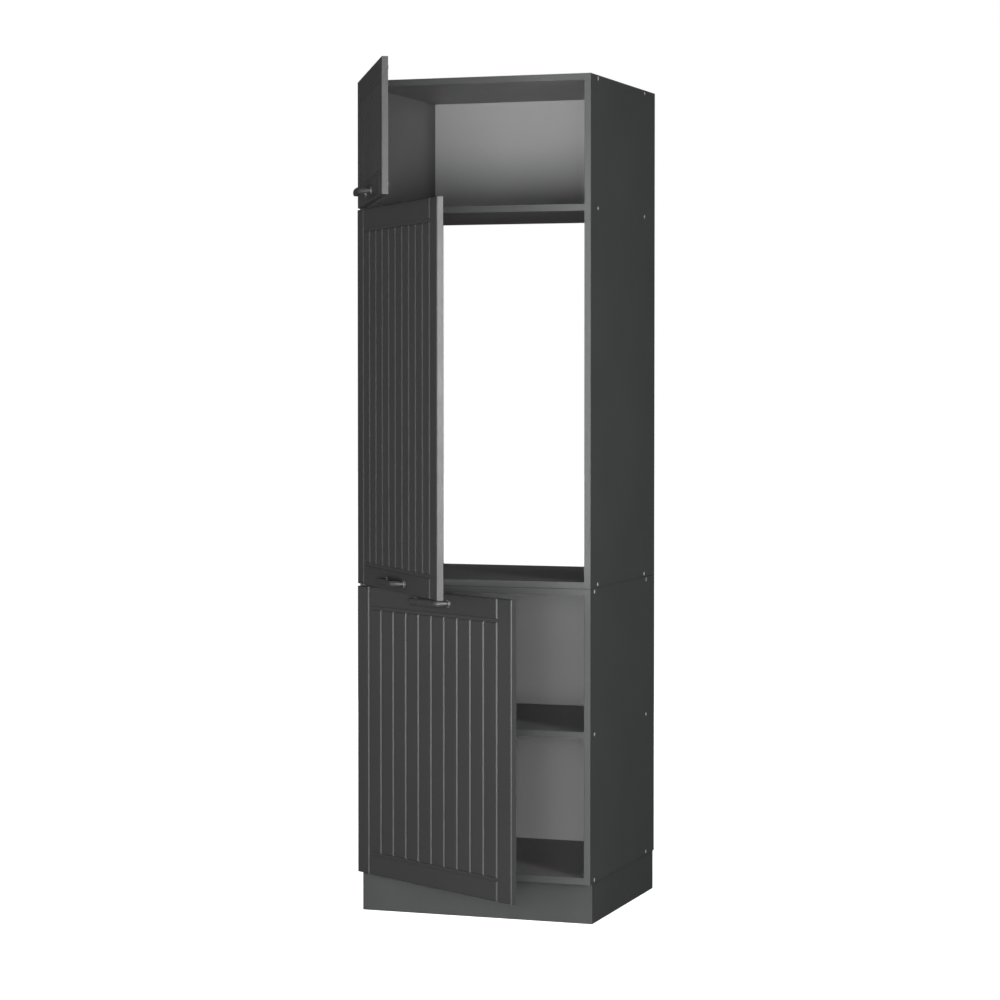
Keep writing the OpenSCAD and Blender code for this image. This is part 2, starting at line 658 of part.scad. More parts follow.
module arm() difference() {
    union() {
        translate([0, 0, -nose_w / 2]) linear_extrude(height = nose_w) neck_plan();
        board([arm_under, door_gap + arm_start, -arm_w / 2], [strip_t, arm_len - arm_start, arm_w]);
        for (s = [0, 1]) mirror([0, 0, s])
            board([arm_under - channel_h, door_gap + channel_start, arm_w / 2 - arm_wall],
                [channel_h + strip_t / 2, arm_len - channel_start, arm_wall]);
    }
    for (y = arm_screw_ys)
        bar_x(arm_under - cut, arm_under + strip_t + cut, door_gap + y, 0, arm_screw_r + hole_play);
}
module hinge_arms_top() color(steel) fixed_hinges(top_hinges) arm();
module hinge_arms_middle() color(steel) fixed_hinges(middle_hinges) arm();
module hinge_arms_lower() color(steel) fixed_hinges(lower_hinges) arm();

module plate() difference() {
    union() {
        board([seat_x, door_gap + plate_back - plate_len / 2, -plate_w / 2], [plate_t, plate_len, plate_w]);
        board([seat_x, door_gap + plate_back - wing_len / 2, -wing_w / 2], [plate_t, wing_len, wing_w]);
        board([seat_x, door_gap + plate_back - rib_len / 2, -rib_w / 2], [arm_under - seat_x, rib_len, rib_w]);
    }
    for (y = arm_screw_ys)
        bar_x(arm_under - arm_screw_len - hole_play, arm_under + cut, door_gap + y, 0,
            arm_screw_r + hole_play);
    for (s = [-1, 1])
        bar_x(seat_x - cut, seat_x + plate_t + cut, door_gap + plate_back, s * plate_screw_z,
            plate_screw_r + hole_play);
}
module hinge_plates_top() color(steel) fixed_hinges(top_hinges) plate();
module hinge_plates_middle() color(steel) fixed_hinges(middle_hinges) plate();
module hinge_plates_lower() color(steel) fixed_hinges(lower_hinges) plate();

// A cross recess along X, in a head whose outer face is at x
module cross_x(x, y, z, r, depth) translate([x, y, z]) for (q = [0, 90]) rotate([q, 0, 0])
    board([-depth, -r, -r / 4], [depth + cut, 2 * r, r / 2]);

module plate_screws() color(steel) fixed_hinges(all_hinges) for (s = [-1, 1]) difference() {
    union() {
        bar_x(seat_x + plate_t - plate_screw_len, seat_x + plate_t + plate_screw_head_h / 2,
            door_gap + plate_back, s * plate_screw_z, plate_screw_r);
        bar_x(seat_x + plate_t, seat_x + plate_t + plate_screw_head_h,
            door_gap + plate_back, s * plate_screw_z, plate_screw_head_r);
    }
    cross_x(seat_x + plate_t + plate_screw_head_h, door_gap + plate_back, s * plate_screw_z,
        plate_screw_r, plate_screw_head_h / 2);
}
module arm_screws() color(steel) fixed_hinges(all_hinges) for (y = arm_screw_ys) difference() {
    union() {
        bar_x(arm_under - arm_screw_len, arm_under + strip_t + arm_screw_head_h / 2,
            door_gap + y, 0, arm_screw_r);
        bar_x(arm_under + strip_t, arm_under + strip_t + arm_screw_head_h, door_gap + y, 0, arm_screw_head_r);
    }
    cross_x(arm_under + strip_t + arm_screw_head_h, door_gap + y, 0, arm_screw_r, arm_screw_head_h / 2);
}

base_side_left();
base_side_right();
base_top();
base_shelf();
base_bottom();
base_back();
upper_side_left();
upper_side_right();
upper_top();
upper_divider();
niche_floor();
upper_back();
plinth_front();
plinth_rear();
plinth_left();
plinth_right();
plinth_blocks();
plinth_screws();
base_screws_left();
base_screws_right();
upper_screws_left();
upper_screws_right();
dowels();
connector_bolts();
connector_sleeves();
door_top();
door_middle();
door_lower();
handle_top();
handle_middle();
handle_lower();
rosettes_top();
rosettes_middle();
rosettes_lower();
handle_screws_top();
handle_screws_middle();
handle_screws_lower();
hinge_cups_top();
hinge_cups_middle();
hinge_cups_lower();
cup_screws_top();
cup_screws_middle();
cup_screws_lower();
hinge_pins_top();
hinge_pins_middle();
hinge_pins_lower();
bumpers_top();
bumpers_middle();
bumpers_lower();
hinge_arms_top();
hinge_arms_middle();
hinge_arms_lower();
hinge_plates_top();
hinge_plates_middle();
hinge_plates_lower();
plate_screws();
arm_screws();
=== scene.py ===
# %% [markdown]
# # A tall fridge housing for a fitted kitchen
# The object is a kitchen tall unit: a base cupboard, an open niche for a built-in refrigerator
# and a small cupboard on top, all on a plinth, with three grooved doors standing open.
# The boards, doors, hinges and screws come as finished solids in metres. This lesson gives
# them their surfaces, draws the handles more finely and sets up a small white photo studio.

# %% Load the solids
import json
import math

import bpy
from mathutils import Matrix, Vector


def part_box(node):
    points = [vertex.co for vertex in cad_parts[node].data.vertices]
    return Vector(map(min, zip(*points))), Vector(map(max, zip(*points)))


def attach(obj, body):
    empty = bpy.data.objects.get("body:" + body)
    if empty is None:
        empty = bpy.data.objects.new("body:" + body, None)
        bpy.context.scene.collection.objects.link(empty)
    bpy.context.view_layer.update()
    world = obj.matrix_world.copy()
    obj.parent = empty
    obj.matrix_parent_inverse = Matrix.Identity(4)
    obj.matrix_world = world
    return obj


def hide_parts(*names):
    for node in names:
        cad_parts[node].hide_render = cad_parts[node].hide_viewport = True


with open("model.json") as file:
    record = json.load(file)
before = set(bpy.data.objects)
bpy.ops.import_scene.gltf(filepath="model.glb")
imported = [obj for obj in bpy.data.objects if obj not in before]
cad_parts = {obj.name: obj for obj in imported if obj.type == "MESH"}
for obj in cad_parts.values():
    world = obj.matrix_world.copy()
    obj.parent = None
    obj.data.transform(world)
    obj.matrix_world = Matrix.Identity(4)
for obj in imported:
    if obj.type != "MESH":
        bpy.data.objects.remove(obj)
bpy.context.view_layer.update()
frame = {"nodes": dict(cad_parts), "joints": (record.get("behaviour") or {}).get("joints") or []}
nodes = frame["nodes"]

# %% [markdown]
# ## Two small helpers
# Colours are picked as sRGB hex values, as on a screen, but a shader wants linear light,
# so one function turns them round. A material is a chain of nodes. Writing each node out
# with its settings and links takes many lines, so one function adds a node of any kind.
# Its inputs come as a dictionary, in which a value is a number, a colour or the output of
# another node, and it hands back the output that the next node needs. Maths nodes number
# their inputs from 0. The Mix node has several inputs of one name, so they go by number too:
# 0 is the share of the second one, 2 and 3 are the two numbers, and 6 and 7 the two colours.

# %% Helpers for colours and nodes
MM = 0.001
MIXED_COLOUR = {"out": 2, "data_type": "RGBA"}  # what a Mix node of two colours needs


def linear(hex_code, brighter=1.0):
    """The linear RGBA colour of an sRGB hex value such as "3c3f40"."""
    channels = [int(hex_code[i : i + 2], 16) / 255 for i in (0, 2, 4)]
    light = [c / 12.92 if c <= 0.04045 else ((c + 0.055) / 1.055) ** 2.4 for c in channels]
    return tuple(brighter * c for c in light) + (1.0,)


def add(tree, kind, inputs=None, out=0, **settings):
    """Adds one node with its settings and links, and returns one of its outputs."""
    full_name = kind.startswith(("Geometry", "Function", "NodeGroup"))
    node = tree.nodes.new(kind if full_name else "ShaderNode" + kind)
    for name, value in settings.items():
        setattr(node, name, value)
    for key, value in (inputs or {}).items():
        if isinstance(value, bpy.types.NodeSocket):
            tree.links.new(value, node.inputs[key])
        else:
            node.inputs[key].default_value = value
    return node.outputs[out] if len(node.outputs) else None


def new_material(name):
    """An empty node material and its node tree."""
    material = bpy.data.materials.new(name)
    material.use_nodes = True
    material.node_tree.nodes.clear()
    return material, material.node_tree


print("helpers ready; mid grey is", [round(v, 3) for v in linear("808080")])

# %% [markdown]
# ## Noise at a real size
# A surface looks right when its pattern has the size of the real one. The solids are in
# metres, so a grain of 1.2 mm is a noise scale of 1 / 0.0012. This helper takes the grain in
# millimetres, and a stretch for fibres or scratches that run along one way. The pattern is
# fixed to the solid, so it stays put when a door swings.

# %% Grain at a real size
NOISE_LOW, NOISE_HIGH = 0.3, 0.7  # nearly all values of the noise lie between these


def grain(tree, size_mm, detail=2.0, low=0.0, high=1.0, stretch=(1, 1, 1)):
    """A noise value between low and high, with blobs about size_mm across."""
    place = add(tree, "TexCoord", out="Object")
    place = add(tree, "Mapping", {"Vector": place, "Scale": stretch})
    noise = add(tree, "TexNoise", {"Vector": place, "Scale": 1 / (size_mm * MM), "Detail": detail})
    ends = {"From Min": NOISE_LOW, "From Max": NOISE_HIGH, "To Min": low, "To Max": high}
    return add(tree, "MapRange", {"Value": noise, **ends})


print("a 1.2 mm grain is a noise scale of", round(1 / (1.2 * MM)))

# %% [markdown]
# ## Where a face looks
# A faced board isn't the same all over. Its front edge carries a plastic edge band, its rear
# edge is left raw, and its faces carry the printed melamine. Each would need a material of
# its own, but a mask does the same: it is 1 where the surface looks along a given way and
# lies beyond a given place, both in the solid's own frame, and 0 elsewhere.

# %% Face mask
def facing(tree, way, beyond=None, limit=0.7):
    """1 where the surface looks along way, and lies beyond that distance along it.

    The limit is the cosine of the widest angle that still counts as looking that way."""
    direction = add(tree, "TexCoord", out="Normal")
    looks = add(tree, "VectorMath", {0: direction, 1: way}, out="Value", operation="DOT_PRODUCT")
    mask = add(tree, "Math", {0: looks, 1: limit}, operation="GREATER_THAN")
    if beyond is None:
        return mask
    place = add(tree, "TexCoord", out="Object")
    reach = add(tree, "VectorMath", {0: place, 1: way}, out="Value", operation="DOT_PRODUCT")
    there = add(tree, "Math", {0: reach, 1: beyond}, operation="GREATER_THAN")
    return add(tree, "Math", {0: mask, 1: there}, operation="MULTIPLY")


front_edge_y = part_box("base_side_right")[0].y
rear_edge_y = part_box("base_side_right")[1].y
print("front edges at", round(front_edge_y, 4), "and rear edges at", round(rear_edge_y, 4))

# %% [markdown]
# ## Raw chipboard
# Chipboard is glued wood particles, 1 to 4 mm long in the core. It shows only where no band
# covers it, at the rear of the carcass. Two Voronoi patterns, one of coarse chips and one of
# fine ones, give each chip a tone of its own. A noise bends the place that they are looked
# up at, or the chips would look like neat cobbles. Dark pits between them are the open core.

# %% Raw chipboard colour
CHIP_MM, FINE_CHIP_MM, FINE_SHARE = 2.8, 1.3, 0.4
BEND_MM, BEND_GRAIN_MM = 3.5, 4  # how far the place is bent, and over what length
PIT_FROM, PIT_TO = 0.45, 0.9  # in chips from a chip's middle: where a pit begins and is deepest
PIT_SHARE = 0.8
CHIP_DARK, CHIP_PALE, PIT_BROWN = "83633f", "d3b689", "5c452a"


def chipboard_colour(tree):
    """The colour of a raw chipboard edge."""
    place = add(tree, "TexCoord", out="Object")
    scale = 1 / (BEND_GRAIN_MM * MM)
    bend = add(tree, "TexNoise", {"Vector": place, "Scale": scale, "Detail": 3}, out="Color")
    far = (BEND_MM * MM,) * 3
    place = add(tree, "VectorMath", {0: bend, 1: far, 2: place}, operation="MULTIPLY_ADD")
    coarse = {"Vector": place, "Scale": 1 / (CHIP_MM * MM)}
    chip = add(tree, "SeparateColor", {0: add(tree, "TexVoronoi", coarse, out="Color")})
    fine = add(tree, "TexVoronoi", {"Vector": place, "Scale": 1 / (FINE_CHIP_MM * MM)})
    speck = add(tree, "SeparateColor", {0: fine.node.outputs["Color"]})
    both = add(tree, "Mix", {0: FINE_SHARE, 2: chip, 3: speck})
    tone = add(tree, "Mix", {0: both, 6: linear(CHIP_DARK), 7: linear(CHIP_PALE)}, **MIXED_COLOUR)
    ends = {"From Min": PIT_FROM, "From Max": PIT_TO, "To Max": PIT_SHARE}
    pits = add(tree, "MapRange", {"Value": fine, **ends})
    return add(tree, "Mix", {0: pits, 6: tone, 7: linear(PIT_BROWN)}, **MIXED_COLOUR)


print("chips are", FINE_CHIP_MM, "to", CHIP_MM, "mm wide")

# %% [markdown]
# ## Faced board
# The boards are chipboard faced with dark grey melamine: paper soaked in resin and pressed
# hot, so the face is tough and silk matt, with a fine pearl texture from the press plate.
# The eye gets a soft, even sheen and no wood grain. The outer faces are painted a darker grey,
# a little greener, than the insides, and the shelves, floors and the top a paler one than the
# sides: it is one melamine, with painted shade and painted light for how the light falls on
# each. The front edges carry a smoother, slightly lighter plastic band 1 mm thick, whose glue
# line shows as a hair of shadow. A thin dark line of painted shadow runs round the cabinet
# where the upper box stands on the base box, and another where that stands on the plinth:
# the shade of the hairline gaps between the boards.

# %% Colours and sizes of the faced boards
# the outer faces are painted darker and the shelves paler than the insides: painted shade and
# painted light for how the light falls on each
INSIDE_GREY, SHELF_PAINTED_LIGHT_GREY, OUTSIDE_PAINTED_SHADE_GREY, BAND_GREY = "444444", "5d5d5d", "2f3130", "414342"
PLINTH_INSIDE_GREY, PLINTH_OUTSIDE_GREY = "262727", "2c2e2d"
# the darkest grey here is painted shadow, for the hairline gaps between the boxes and above the
# plinth
GLUE_GREY, SEAM_SHADOW_GREY = "1c1d1d", "0e0f0f"
CLOUD_MM, CLOUD_SHARE, CLOUD_GREY = 180, 0.02, "8a8a8a"  # the paper's print is a little uneven
SPECK_MM, SPECK_SHARE, SPECK_GREY = 0.9, 0.10, "6e7070"  # and has fine pale specks
PEARL_MM, PEARL_DEPTH_MM = 1.6, 0.05  # drawn twice as coarse as the real 0.8 mm to show
SHEEN_MM, DULLEST, GLOSSIEST = 120, 0.485, 0.465  # how the roughness drifts over a board
BAND_ROUGHNESS, RAW_ROUGHNESS = 0.34, 0.9
BOARD_IOR = 1.5
BAND_MM = 1.0
GLUE_LINE_MM = 0.12  # half the width of the line
# the dark lines at the seams are painted shadow in the hairline gaps between the boards
SEAM_SHADOW_MM = 0.7  # half the dark line between the two boxes, drawn wider than it is, to show
PLINTH_SHADOW_MM = 1.6  # the one on the plinth, drawn wide to show below its rounded edge
FACE_PLAY = 0.4 * MM  # how far inside a board's outer plane its rounded edge counts as the face
EDGE_LIMIT = 0.5  # more than half of a rounded edge belongs to the band or the raw edge
seam_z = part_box("base_side_right")[1].z
plinth_top_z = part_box("plinth_right")[1].z
side_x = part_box("base_side_right")[1].x
print("seam at", round(seam_z, 4), "plinth top at", round(plinth_top_z, 4))

# %% Faced board material
def line_at(tree, axis, place, half_mm):
    """1 within half_mm of a place on one axis."""
    along = add(tree, "SeparateXYZ", {0: add(tree, "TexCoord", out="Object")}, out=axis)
    return add(tree, "Math", {0: along, 1: place, 2: half_mm * MM}, operation="COMPARE")


def faced_board(name, inside, outside, banded):
    """Melamine-faced chipboard; a banded one has front edge bands and raw rear edges."""
    material, tree = new_material(name)
    right, left = [facing(tree, (way, 0, 0), side_x - FACE_PLAY) for way in (1, -1)]
    outer = add(tree, "Math", {0: right, 1: left}, operation="MAXIMUM")
    layers = [  # a mask and the colour that lies where it is 1, from the bottom up
        (outer, linear(outside)),
        (grain(tree, CLOUD_MM, 3, 0.0, CLOUD_SHARE), linear(CLOUD_GREY)),
        (grain(tree, SPECK_MM, 1, 0.0, SPECK_SHARE), linear(SPECK_GREY)),
    ]
    roughness = grain(tree, SHEEN_MM, 2, GLOSSIEST, DULLEST)
    if banded:
        band = facing(tree, (0, -1, 0), -front_edge_y - FACE_PLAY, EDGE_LIMIT)
        raw = facing(tree, (0, 1, 0), rear_edge_y - FACE_PLAY, EDGE_LIMIT)
        glue_line = line_at(tree, "Y", front_edge_y + BAND_MM * MM, GLUE_LINE_MM)
        layers += [
            (band, linear(BAND_GREY)),
            (glue_line, linear(GLUE_GREY)),
            # painted shadow in the gap where the upper box stands on the base box
            (line_at(tree, "Z", seam_z, SEAM_SHADOW_MM), linear(SEAM_SHADOW_GREY)),
            (raw, chipboard_colour(tree)),
        ]
        roughness = add(tree, "Mix", {0: band, 2: roughness, 3: BAND_ROUGHNESS})
        roughness = add(tree, "Mix", {0: raw, 2: roughness, 3: RAW_ROUGHNESS})
    else:
        # painted shadow in the gap where the cabinet stands on its plinth
        layers.append((line_at(tree, "Z", plinth_top_z, PLINTH_SHADOW_MM), linear(SEAM_SHADOW_GREY)))
    colour = linear(inside)
    for mask, layer in layers:
        colour = add(tree, "Mix", {0: mask, 6: colour, 7: layer}, **MIXED_COLOUR)
    pearl = {"Height": grain(tree, PEARL_MM), "Distance": PEARL_DEPTH_MM * MM}
    shader = add(
        tree, "BsdfPrincipled",
        {"Base Color": colour, "Roughness": roughness, "Normal": add(tree, "Bump", pearl),
         "IOR": BOARD_IOR},
    )
    add(tree, "OutputMaterial", {0: shader})
    return material


board = faced_board("melamine_faced_board", INSIDE_GREY, OUTSIDE_PAINTED_SHADE_GREY, True)
# the shelves, floors and top get the paler grey, which is painted light
shelf_board_painted_lighter = faced_board("melamine_faced_shelf_painted_lighter", SHELF_PAINTED_LIGHT_GREY, OUTSIDE_PAINTED_SHADE_GREY, True)
plinth_board = faced_board(
    "melamine_plinth_board", PLINTH_INSIDE_GREY, PLINTH_OUTSIDE_GREY, False
)
print("boards:", board.name, shelf_board_painted_lighter.name, plinth_board.name)

# %% [markdown]
# ## Foil-wrapped front
# A grooved door is fibreboard, routed first and then wrapped in a matt plastic foil under
# vacuum. The foil follows the grooves and the rounded edges, so all edges of the front are
# soft and seamless, and ends at the back, which is faced with plain melamine. The eye sees
# one deep, even colour with a very fine leathery grain, and a line of light on the flanks of
# the grooves and on the rounded edges.

# %% Foil-wrapped front material
FOIL_GREY, FOIL_SPECK_GREY, BACKING_GREY = "282828", "5a5c5c", "424242"
FOIL_CLOUD_MM, FOIL_CLOUD_LIFT = 220, 1.08
FOIL_SPECK_MM, FOIL_SPECK_SHARE = 0.7, 0.08
FOIL_SHEEN_MM, FOIL_GLOSSIEST, FOIL_DULLEST, BACKING_ROUGHNESS = 60, 0.40, 0.44, 0.5
FOIL_GRAIN_MM, FOIL_DEPTH_MM = 1.1, 0.025
BACKING_LIMIT = 0.98  # the flat back only, and none of its rounded edges


def wrapped_front(name, back_way):
    """Matt foil, with plain melamine where the surface looks along back_way."""
    material, tree = new_material(name)
    clouds = {0: grain(tree, FOIL_CLOUD_MM, 3), 6: linear(FOIL_GREY)}
    clouds[7] = linear(FOIL_GREY, FOIL_CLOUD_LIFT)
    colour = add(tree, "Mix", clouds, **MIXED_COLOUR)
    specks = grain(tree, FOIL_SPECK_MM, 1, 0.0, FOIL_SPECK_SHARE)
    colour = add(tree, "Mix", {0: specks, 6: colour, 7: linear(FOIL_SPECK_GREY)}, **MIXED_COLOUR)
    backing = facing(tree, back_way, limit=BACKING_LIMIT)
    colour = add(tree, "Mix", {0: backing, 6: colour, 7: linear(BACKING_GREY)}, **MIXED_COLOUR)
    foil = grain(tree, FOIL_SHEEN_MM, 2, FOIL_GLOSSIEST, FOIL_DULLEST)
    roughness = add(tree, "Mix", {0: backing, 2: foil, 3: BACKING_ROUGHNESS})
    leather = {"Height": grain(tree, FOIL_GRAIN_MM), "Distance": FOIL_DEPTH_MM * MM}
    shader = add(
        tree, "BsdfPrincipled",
        {"Base Color": colour, "Roughness": roughness, "Normal": add(tree, "Bump", leather),
         "IOR": BOARD_IOR},
    )
    add(tree, "OutputMaterial", {0: shader})
    return material


# %% One front for each door, because each stands at its own angle
doors = {}
for joint in frame["joints"]:
    name = joint["child"].removeprefix("door_")
    angle = math.radians(-joint["range_deg"][0])
    across = Vector((math.cos(angle), -math.sin(angle), 0))
    backward = Vector((math.sin(angle), math.cos(angle), 0))
    low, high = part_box(joint["child"])
    doors[name] = {
        "pivot": Vector(joint["pos_m"]),
        "across": across,
        "backward": backward,
        "z": (low.z, high.z),
        "front": wrapped_front(f"foil_wrapped_front_{name}", backward),
    }
    print(name, "door is open", round(math.degrees(angle), 1), "degrees")

# %% [markdown]
# ## Back panels
# The backs are thin fibreboard, lacquered grey on the side that shows and left brown at the
# rear. The lacquer is rolled on thinly, so the fine fibres of the board still show through
# as faint flecks. The raw side is smooth, brown and dull.

# %% Lacquered thin board material
LACQUER_GREY, FLECK_GREY = "979797", "898989"
FIBRE_DARK, FIBRE_PALE = "755c43", "927558"
FLECK_MM, FLECK_SHARE, FIBRE_MM, FIBRE_DEPTH_MM = 1.5, 0.3, 2.2, 0.04
LACQUER_ROUGHNESS, FIBRE_ROUGHNESS = 0.42, 0.75


def lacquered_back(name):
    """Thin fibreboard, lacquered at the front and raw at the rear."""
    material, tree = new_material(name)
    fleck = grain(tree, FLECK_MM, 4, 0.0, FLECK_SHARE)
    greys = {0: fleck, 6: linear(LACQUER_GREY), 7: linear(FLECK_GREY)}
    front = add(tree, "Mix", greys, **MIXED_COLOUR)
    browns = {0: grain(tree, FIBRE_MM, 5), 6: linear(FIBRE_DARK), 7: linear(FIBRE_PALE)}
    fibre = add(tree, "Mix", browns, **MIXED_COLOUR)
    rear = facing(tree, (0, 1, 0))
    colour = add(tree, "Mix", {0: rear, 6: front, 7: fibre}, **MIXED_COLOUR)
    roughness = add(tree, "Mix", {0: rear, 2: LACQUER_ROUGHNESS, 3: FIBRE_ROUGHNESS})
    fibres = {"Height": grain(tree, FLECK_MM, 4), "Distance": FIBRE_DEPTH_MM * MM}
    shader = add(
        tree, "BsdfPrincipled",
        {"Base Color": colour, "Roughness": roughness, "Normal": add(tree, "Bump", fibres),
         "IOR": BOARD_IOR},
    )
    add(tree, "OutputMaterial", {0: shader})
    return material


back_panel = lacquered_back("lacquered_thin_back")
print("back panel:", back_panel.name)

# %% [markdown]
# ## Plated steel
# The hinges are pressed steel with bright nickel plate: warm, smooth, with soft scratches
# from tumbling. The small screws are zinc plated, which is bluer and duller. A metal's colour
# is its reflection, so both are fully metallic and keep the default IOR. The big screws of
# the carcass have a thick milky coat over the zinc. It scatters light as paint does, so their
# heads stay light on the dark side from every angle: a metallic value between the two.

# %% Plated steel materials
SCRATCH_MM, SCRATCH_STRETCH = 0.35, (1, 1, 0.12)


def plated_steel(name, bright, dull, smoothest, roughest, patch_mm, depth_mm, metallic=1.0):
    """Plated steel in patches of two tones, with scratches depth_mm deep."""
    material, tree = new_material(name)
    patches = {0: grain(tree, patch_mm, 4), 6: linear(bright), 7: linear(dull)}
    colour = add(tree, "Mix", patches, **MIXED_COLOUR)
    roughness = grain(tree, patch_mm / 2, 3, smoothest, roughest)
    scratches = grain(tree, SCRATCH_MM, 2, stretch=SCRATCH_STRETCH)
    normal = add(tree, "Bump", {"Height": scratches, "Distance": depth_mm * MM})
    shader = add(
        tree, "BsdfPrincipled",
        {"Base Color": colour, "Roughness": roughness, "Normal": normal, "Metallic": metallic},
    )
    add(tree, "OutputMaterial", {0: shader})
    return material


nickel = plated_steel(
    "nickel_plated_steel", bright="c4bfb7", dull="aca79e",
    smoothest=0.26, roughest=0.38, patch_mm=6, depth_mm=0.004,
)
zinc = plated_steel(
    "zinc_plated_steel", bright="b9bdc2", dull="9da1a6",
    smoothest=0.30, roughest=0.42, patch_mm=3, depth_mm=0.006,
)
milky_zinc = plated_steel(
    "milky_zinc_plated_steel", bright="c4c6c6", dull="adb0b0",
    smoothest=0.45, roughest=0.60, patch_mm=3, depth_mm=0.006, metallic=0.55,
)
print("metals:", nickel.name, zinc.name, milky_zinc.name)

# %% [markdown]
# ## Powder-coated die-cast zinc
# The handles are cast zinc with a dark powder coat: plastic powder, melted on to the metal.
# It is a dielectric skin, so the metal under it doesn't shine through, and it dries with a
# fine orange peel that breaks up the gloss. On the rims the coat runs thin, and the paler
# metal shows through it; the pale rims are drawn wide and bright, so they are also a painted
# highlight along the edges. The rims are found by comparing a softened normal with the true
# one: they differ only near an edge.

# %% Powder coat material
# the pale rim grey is worn coat and painted edge highlight in one
COAT_DARK, COAT_PALE, RIM_WEAR_AND_HIGHLIGHT_GREY = "262626", "2e2e2e", "868686"
COAT_PATCH_MM, COAT_SHEEN_MM, COAT_GLOSSIEST, COAT_DULLEST = 9, 5, 0.36, 0.46
ORANGE_PEEL_MM, PEEL_DEPTH_MM = 1.4, 0.03
RIM_MM = 1.6  # how wide the pale rims are, drawn wider than the real 0.5 mm to show
RIM_BEGINS, RIM_FULL = 0.995, 0.9  # cosines of the angle between the two normals
WEAR_MM, LEAST_WORN = 4, 0.6


def powder_coated_zinc(name):
    """Dark powder coat with an orange peel, and pale rims of wear and painted highlight."""
    material, tree = new_material(name)
    softened = add(tree, "Bevel", {"Radius": RIM_MM * MM}, samples=6)
    true = add(tree, "NewGeometry", out="Normal")
    alike = add(tree, "VectorMath", {0: softened, 1: true}, out="Value", operation="DOT_PRODUCT")
    rim = add(tree, "MapRange", {"Value": alike, "From Min": RIM_BEGINS, "From Max": RIM_FULL})
    wear = grain(tree, WEAR_MM, 3, LEAST_WORN, 1.0)
    worn_and_highlight = add(tree, "Math", {0: rim, 1: wear}, operation="MULTIPLY")
    patches = {0: grain(tree, COAT_PATCH_MM, 4), 6: linear(COAT_DARK), 7: linear(COAT_PALE)}
    colour = add(tree, "Mix", patches, **MIXED_COLOUR)
    colour = add(tree, "Mix", {0: worn_and_highlight, 6: colour, 7: linear(RIM_WEAR_AND_HIGHLIGHT_GREY)}, **MIXED_COLOUR)
    roughness = grain(tree, COAT_SHEEN_MM, 3, COAT_GLOSSIEST, COAT_DULLEST)
    peel = {"Height": grain(tree, ORANGE_PEEL_MM, 3), "Distance": PEEL_DEPTH_MM * MM}
    shader = add(
        tree, "BsdfPrincipled",
        {"Base Color": colour, "Roughness": roughness, "Normal": add(tree, "Bump", peel),
         "IOR": BOARD_IOR},
    )
    add(tree, "OutputMaterial", {0: shader})
    return material


handle_metal = powder_coated_zinc("powder_coated_die_cast_zinc")
print("handle metal:", handle_metal.name)

# %% [markdown]
# ## Beech and soft plastic
# The glue blocks and dowels are beech: pale, pinkish, straight grained, with short darker
# flecks. The bumpers behind the doors are drops of clear soft plastic, which pass light
# but look milky because their surface is dull.

# %% Beech material
BEECH_PALE, BEECH_DARK, BEECH_FLECK = "d3ac80", "b98f62", "93683f"
RINGS_MM, RINGS_STRETCH = 7, (1, 1, 0.08)
BEECH_FLECK_MM, FLECK_STRETCH, FLECK_DEPTH_MM = 1.2, (1, 1, 0.25), 0.05
FEW_FROM, FEW_SHARE = 0.7, 0.6  # only the peaks of the noise become flecks
BEECH_ROUGHNESS = 0.6


def straight_beech(name):
    """Planed beech with its grain upright."""
    material, tree = new_material(name)
    rings = grain(tree, RINGS_MM, 3, stretch=RINGS_STRETCH)
    flecks = grain(tree, BEECH_FLECK_MM, 1, stretch=FLECK_STRETCH)
    woods = {0: rings, 6: linear(BEECH_PALE), 7: linear(BEECH_DARK)}
    colour = add(tree, "Mix", woods, **MIXED_COLOUR)
    few = add(tree, "MapRange", {"Value": flecks, "From Min": FEW_FROM, "To Max": FEW_SHARE})
    colour = add(tree, "Mix", {0: few, 6: colour, 7: linear(BEECH_FLECK)}, **MIXED_COLOUR)
    normal = add(tree, "Bump", {"Height": flecks, "Distance": FLECK_DEPTH_MM * MM})
    shader = add(
        tree, "BsdfPrincipled",
        {"Base Color": colour, "Roughness": BEECH_ROUGHNESS, "Normal": normal},
    )
    add(tree, "OutputMaterial", {0: shader})
    return material


beech_wood = straight_beech("straight_grained_beech")
print("wood:", beech_wood.name)

# %% Bumper material
PLASTIC_PALE, PLASTIC_DARK = "e6eaea", "d5dcdc"
PLASTIC_PATCH_MM, MILK_MM, MILK_GLOSSIEST, MILK_DULLEST = 3, 1.5, 0.22, 0.34
PLASTIC_IOR, PLASTIC_CLEARNESS = 1.46, 0.9


def clear_soft_plastic(name):
    """Clear soft plastic with a dull skin."""
    material, tree = new_material(name)
    patches = {0: grain(tree, PLASTIC_PATCH_MM), 6: linear(PLASTIC_PALE), 7: linear(PLASTIC_DARK)}
    colour = add(tree, "Mix", patches, **MIXED_COLOUR)
    roughness = grain(tree, MILK_MM, 2, MILK_GLOSSIEST, MILK_DULLEST)
    shader = add(
        tree, "BsdfPrincipled",
        {"Base Color": colour, "Roughness": roughness, "IOR": PLASTIC_IOR,
         "Transmission Weight": PLASTIC_CLEARNESS},
    )
    add(tree, "OutputMaterial", {0: shader})
    return material


bumper_plastic = clear_soft_plastic("clear_soft_plastic")
print("plastic:", bumper_plastic.name)

# %% [markdown]
# ## Dress the solids
# Each solid takes the material of its piece. The edges of a sawn and banded board are a
# little rounded, which is what catches the light in a photograph. Here their radius is up to
# one millimetre, so that it shows. A Bevel modifier adds it and leaves the solid's own mesh
# alone. Round parts need smooth shading, but only between faces that meet at a small angle:
# a few geometry nodes set that.

# %% Smooth shading by angle, as a modifier
SMOOTH_BELOW_DEG = 32


